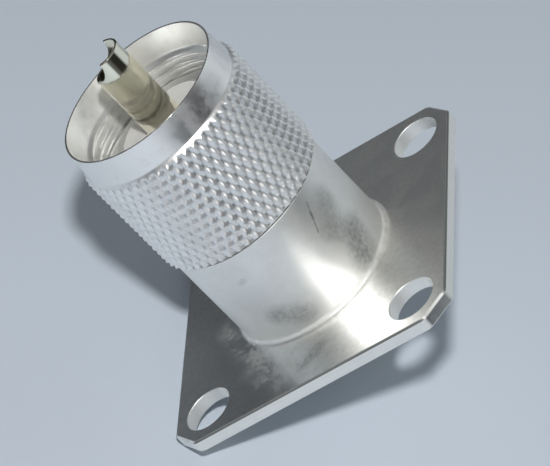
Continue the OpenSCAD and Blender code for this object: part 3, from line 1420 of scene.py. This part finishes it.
@dataclass
class CentreContact:
    """The hollow, notched pin, its captive collar and its solder cup. Sizes in millimetres."""

    pin_radius: float = 2.0
    hollow_radius: float = 1.7
    hollow_end: float = 27.05
    tip: float = 34.05
    tip_radius: float = 1.94
    nose: float = 33.95
    notch_radius: float = 2.05
    notch_offset: float = 1.8
    notch_floor: float = 31.65
    pin_foot: float = 24.3
    shank_radius: float = 2.2
    collar_radius: float = 3.0
    collar_high: float = 13.8
    collar_low: float = 12.3
    shank_end: float = -6.0
    tail_end: float = -9.2
    cup_end: float = -6.2
    opening_end: float = -7.2
    ease: float = 0.06
    lip_ease: float = 0.1
    nose_ease: float = 0.055
    coarse_step: float = 2.0
    fine_step: float = 0.25
    fine_from: float = 76.0
    wall_share: float = 0.9

    def angles(self) -> list[float]:
        """Work out the angles of the section's copies.

        Returns:
            The angles in radians, close together where the notch starts steeply.
        """
        right = 90.0
        stretches = [
            (0.0, self.fine_from, self.coarse_step),
            (self.fine_from, right, self.fine_step),
            (right, 2 * right, self.coarse_step),
        ]
        half = []
        for start, end, step in stretches:
            half.extend(start + step * k for k in range(round((end - start) / step)))
        back = [-angle for angle in reversed(half[1:])]
        return [math.radians(angle) for angle in [*half, 2 * right, *back]]

    def section(self) -> EasedPath:
        """Return the section from the floor of the hollow tip to the floor of the solder cup."""
        return EasedPath(
            [
                Corner(0.0, self.hollow_end),
                Corner(self.hollow_radius, self.hollow_end),
                Corner(self.hollow_radius, self.notch_floor),
                Corner(self.hollow_radius, self.tip, self.lip_ease),
                Corner(self.tip_radius, self.tip, self.nose_ease),
                Corner(self.pin_radius, self.nose, self.nose_ease),
                Corner(self.pin_radius, self.notch_floor),
                Corner(self.pin_radius, self.pin_foot),
                Corner(self.shank_radius, self.pin_foot, self.ease),
                Corner(self.shank_radius, self.collar_high),
                Corner(self.collar_radius, self.collar_high, self.ease),
                Corner(self.collar_radius, self.collar_low, self.ease),
                Corner(self.shank_radius, self.collar_low),
                Corner(self.shank_radius, self.shank_end, self.ease),
                Corner(self.pin_radius, self.shank_end),
                Corner(self.pin_radius, self.opening_end),
                Corner(self.pin_radius, self.tail_end, self.ease),
                Corner(self.hollow_radius, self.tail_end, self.ease),
                Corner(self.hollow_radius, self.opening_end),
                Corner(self.hollow_radius, self.cup_end),
                Corner(0.0, self.cup_end),
            ]
        )

    def build(self, finish: bpy.types.Material) -> bpy.types.Object:
        """Build the contact, cut the tip's notch and open the cup's side.

        Args:
            finish: The contact's material.

        Returns:
            The piece.
        """
        angles = self.angles()
        job = MeshJob(len(angles), angles)
        job.spin(self.section())
        self._notch_tip(job)
        self._open_cup(job)
        return job.close("centre_contact_plated", finish)

    def _notch_tip(self, job: MeshJob) -> None:
        """Lower the tip's wall on its -X side to a round notch across the pin.

        Args:
            job: The mesh under construction.
        """
        height = self.tip - self.notch_floor
        for vertex in job.bm.verts:
            above = vertex.co.z - self.notch_floor
            if above > 0:
                away = vertex.co.x + self.notch_offset
                depth = math.sqrt(max(self.notch_radius**2 - away**2, 0.0))
                vertex.co.z = self.notch_floor + above * (1 - depth / height)

    def _open_cup(self, job: MeshJob) -> None:
        """Take away the half of the cup's wall that faces +X and close the cut.

        Args:
            job: The mesh under construction.
        """
        gone = []
        for face in job.bm.faces:
            middle = face.calc_center_median()
            wall = middle.xy.length > self.hollow_radius * self.wall_share
            if wall and middle.x > 0 and middle.z < self.opening_end:
                gone.append(face)
        bmesh.ops.delete(job.bm, geom=gone, context="FACES")
        border = [edge for edge in job.bm.edges if edge.is_boundary]
        level = [edge for edge in border if all(abs(v.co.z - self.opening_end) < TINY for v in edge.verts)]
        bmesh.ops.bridge_loops(job.bm, edges=level)
        rest = [edge for edge in job.bm.edges if edge.is_boundary]
        bmesh.ops.holes_fill(job.bm, edges=rest, sides=0)

    def dress(self) -> None:
        """Build the piece and hand it over."""
        hand_over(self.build(PolishedPlate().material()), Body.PLUG, "centre_contact")


@dataclass
class RetainingRing:
    """The split ring inside the nut, which keeps its CAD shape."""

    node: str = "retaining_ring"

    def dress(self) -> None:
        """Give the CAD node its finish."""
        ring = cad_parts[self.node]
        ring.data.materials.clear()
        ring.data.materials.append(SpringBronze().material())
        LOG.info("%s keeps its CAD shape", self.node)


@dataclass(frozen=True)
class PhotoCamera:
    """The photograph's viewpoint, as angles about the part's axis."""

    azimuth: float = 28.765
    elevation: float = 29.06
    roll: float = 44.432
    distance: float = 0.36492
    target: Place = (0.0, 0.0, 0.00747)
    lens: float = 248.716
    sensor: float = 36.0
    clip_start: float = 0.01
    clip_end: float = 10.0

    def back(self) -> Vector:
        """Work out the viewing direction.

        Returns:
            The direction from the part to the camera.
        """
        azimuth = math.radians(self.azimuth)
        elevation = math.radians(self.elevation)
        level = math.cos(elevation)
        return Vector((math.sin(azimuth) * level, -math.cos(azimuth) * level, math.sin(elevation)))

    def build(self) -> None:
        """Make the scene's camera."""
        back = self.back()
        azimuth = math.radians(self.azimuth)
        roll = math.radians(self.roll)
        level_right = Vector((math.cos(azimuth), math.sin(azimuth), 0.0))
        level_up = back.cross(level_right)
        right = level_right * math.cos(roll) - level_up * math.sin(roll)
        up = level_up * math.cos(roll) + level_right * math.sin(roll)
        data = bpy.data.cameras.new("photo_camera")
        data.lens = self.lens
        data.sensor_width = self.sensor
        data.clip_start = self.clip_start
        data.clip_end = self.clip_end
        camera = placed("photo_camera", data)
        turn = Matrix((right, up, back)).transposed().to_4x4()
        camera.matrix_world = Matrix.Translation(Vector(self.target) + back * self.distance) @ turn
        bpy.context.scene.camera = camera


@dataclass(frozen=True)
class Window:
    """A soft pale patch on the room's wall: its light, its place, and the cosines of its edge and middle."""

    colour: Colour
    direction: Place
    edge: float
    middle: float


@dataclass(frozen=True)
class Studio:
    """A pale table that the part leans on, a soft lamp beside the camera, and a dim room with two windows."""

    table_colour: Colour = (0.64, 0.71, 0.79)
    table_roughness: float = 0.85
    table_shine: float = 0.1
    table_normal: Place = (0.6402, -0.0188, 0.768)
    table_middle: Place = (0.0, 0.0, 0.007)
    backdrop: Colour = (0.50, 0.56, 0.64)
    ceiling: Colour = (0.20, 0.20, 0.20)
    horizon: Colour = (0.02, 0.02, 0.02)
    horizon_sine: float = 0.30
    ceiling_sine: float = 0.80
    windows: tuple[Window, ...] = (
        Window((0.50, 0.55, 0.58), (0.80, 0.58, -0.16), 0.75, 0.92),
        Window((0.20, 0.21, 0.22), (0.27, -0.90, 0.21), 0.60, 0.95),
    )
    table_radius: float = 0.7
    table_segments: int = 96
    solid_radius: float = 0.085
    clear_radius: float = 0.16
    room_radius: float = 0.75
    room_subdivisions: int = 4
    key_target: Place = (0.0, 0.0, 0.01)
    key_direction: Place = (0.5018, -0.6236, 0.5994)
    key_distance: float = 0.471
    key_size: float = 0.03
    key_irradiance: float = 2.15

    def table_frame(self) -> Matrix:
        """Work out the table's place, which touches the part's lowest point.

        Returns:
            Its middle and its axes, with Z along its normal.
        """
        normal = Vector(self.table_normal).normalized()
        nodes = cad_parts.values()
        touch = min(normal.dot(vertex.co) for node in nodes for vertex in node.data.vertices)
        across = normal.cross(Vector((1.0, 0.0, 0.0))).normalized()
        along = across.cross(normal)
        middle = Vector(self.table_middle)
        middle += normal * (touch - normal.dot(middle))
        turn = Matrix((along, across, normal)).transposed().to_4x4()
        return Matrix.Translation(middle) @ turn

    def build(self) -> None:
        """Build the table, the room, the lamp and the world."""
        self._table()
        self._room()
        self._lamp()
        self._world()

    def _stage_piece(self, name: str, bm: bmesh.types.BMesh, finish: bpy.types.Material) -> bpy.types.Object:
        """Make a stage piece from a mesh.

        Args:
            name: The piece's name.
            bm: Its mesh, which is freed.
            finish: Its material.

        Returns:
            The piece.
        """
        mesh = bpy.data.meshes.new(name)
        bm.to_mesh(mesh)
        bm.free()
        mesh.materials.append(finish)
        piece = placed(name, mesh)
        return piece

    def _rays(self, graph: Graph, *kinds: Ray) -> Term:
        """Return 1 for the named kinds of ray."""
        path = graph.node("ShaderNodeLightPath")
        return largest([Term(graph, path.outputs[kind.value]) for kind in kinds])

    def _table(self) -> None:
        """Build the table: solid near the part, clear far from it and from below for the camera alone."""
        material, graph = node_material("pale_table")
        place = graph.term("ShaderNodeTexCoord", {}, {}, "Object")
        behind = graph.term("ShaderNodeNewGeometry", {}, {}, "Backfacing")
        near = graph.length(place).ramp(self.clear_radius, self.solid_radius)
        seen = near * (1 - behind)
        solid = 1 - self._rays(graph, Ray.CAMERA) * (1 - seen)
        matt = {
            "Base Color": opaque(self.table_colour),
            "Roughness": self.table_roughness,
            "Specular IOR Level": self.table_shine,
        }
        paper = graph.term("ShaderNodeBsdfPrincipled", {}, matt)
        clear = graph.term("ShaderNodeBsdfTransparent")
        surface = graph.term("ShaderNodeMixShader", {}, {0: solid, 1: clear, 2: paper})
        graph.node("ShaderNodeOutputMaterial", {}, {"Surface": surface})
        bm = bmesh.new()
        bmesh.ops.create_circle(bm, cap_ends=True, segments=self.table_segments, radius=self.table_radius)
        table = self._stage_piece("table", bm, material)
        table.matrix_world = self.table_frame()

    def _room(self) -> None:
        """Build the room around the table, hidden from the camera: dark walls, windows and a pale ceiling."""
        material, graph = node_material("dim_room")
        place = graph.term("ShaderNodeTexCoord", {}, {}, "Object")
        level = graph.dot(place, self.table_normal) / self.room_radius
        share = level.ramp(self.horizon_sine, self.ceiling_sine)
        walls = graph.mixed(share, self.horizon, self.ceiling)
        for window in self.windows:
            near = graph.dot(place, Vector(window.direction).normalized()) / self.room_radius
            walls = graph.mixed(near.ramp(window.edge, window.middle), walls, window.colour)
        glow = graph.term("ShaderNodeEmission", {}, {"Color": walls, "Strength": 1.0})
        graph.node("ShaderNodeOutputMaterial", {}, {"Surface": glow})
        bm = bmesh.new()
        bmesh.ops.create_icosphere(bm, subdivisions=self.room_subdivisions, radius=self.room_radius)
        room = self._stage_piece("room", bm, material)
        room.visible_camera = False

    def _lamp(self) -> None:
        """Build the soft lamp."""
        data = bpy.data.lights.new("key_lamp", "AREA")
        data.shape = "DISK"
        data.size = self.key_size
        data.energy = self.key_irradiance * math.pi * self.key_distance**2
        lamp = placed("key_lamp", data)
        direction = Vector(self.key_direction).normalized()
        lamp.location = Vector(self.key_target) + direction * self.key_distance
        lamp.rotation_mode = "QUATERNION"
        lamp.rotation_quaternion = direction.to_track_quat("Z", "Y")
        lamp.visible_camera = False

    def _world(self) -> None:
        """Set the pale backdrop that the camera sees past the table."""
        world = bpy.data.worlds.new("studio")
        world.use_nodes = True
        graph = Graph(world.node_tree)
        pale = graph.term("ShaderNodeBackground", {}, {"Color": opaque(self.backdrop), "Strength": 1.0})
        dim = graph.term("ShaderNodeBackground", {}, {"Color": opaque(self.horizon), "Strength": 1.0})
        seen = self._rays(graph, Ray.CAMERA, Ray.GLOSSY, Ray.TRANSMISSION)
        surface = graph.term("ShaderNodeMixShader", {}, {0: seen, 1: dim, 2: pale})
        graph.node("ShaderNodeOutputWorld", {}, {"Surface": surface})
        bpy.context.scene.world = world
        bpy.context.scene.view_settings.view_transform = "Standard"


def main() -> None:
    """Build the part's pieces in order, then its stage."""
    logging.basicConfig(level=logging.INFO, format="%(name)s: %(message)s")
    FlangeBody().dress()
    CouplingNut().dress()
    RetainingRing().dress()
    Insulators().dress()
    CentreContact().dress()
    PhotoCamera().build()
    Studio().build()


if __name__ == "__main__":
    main()
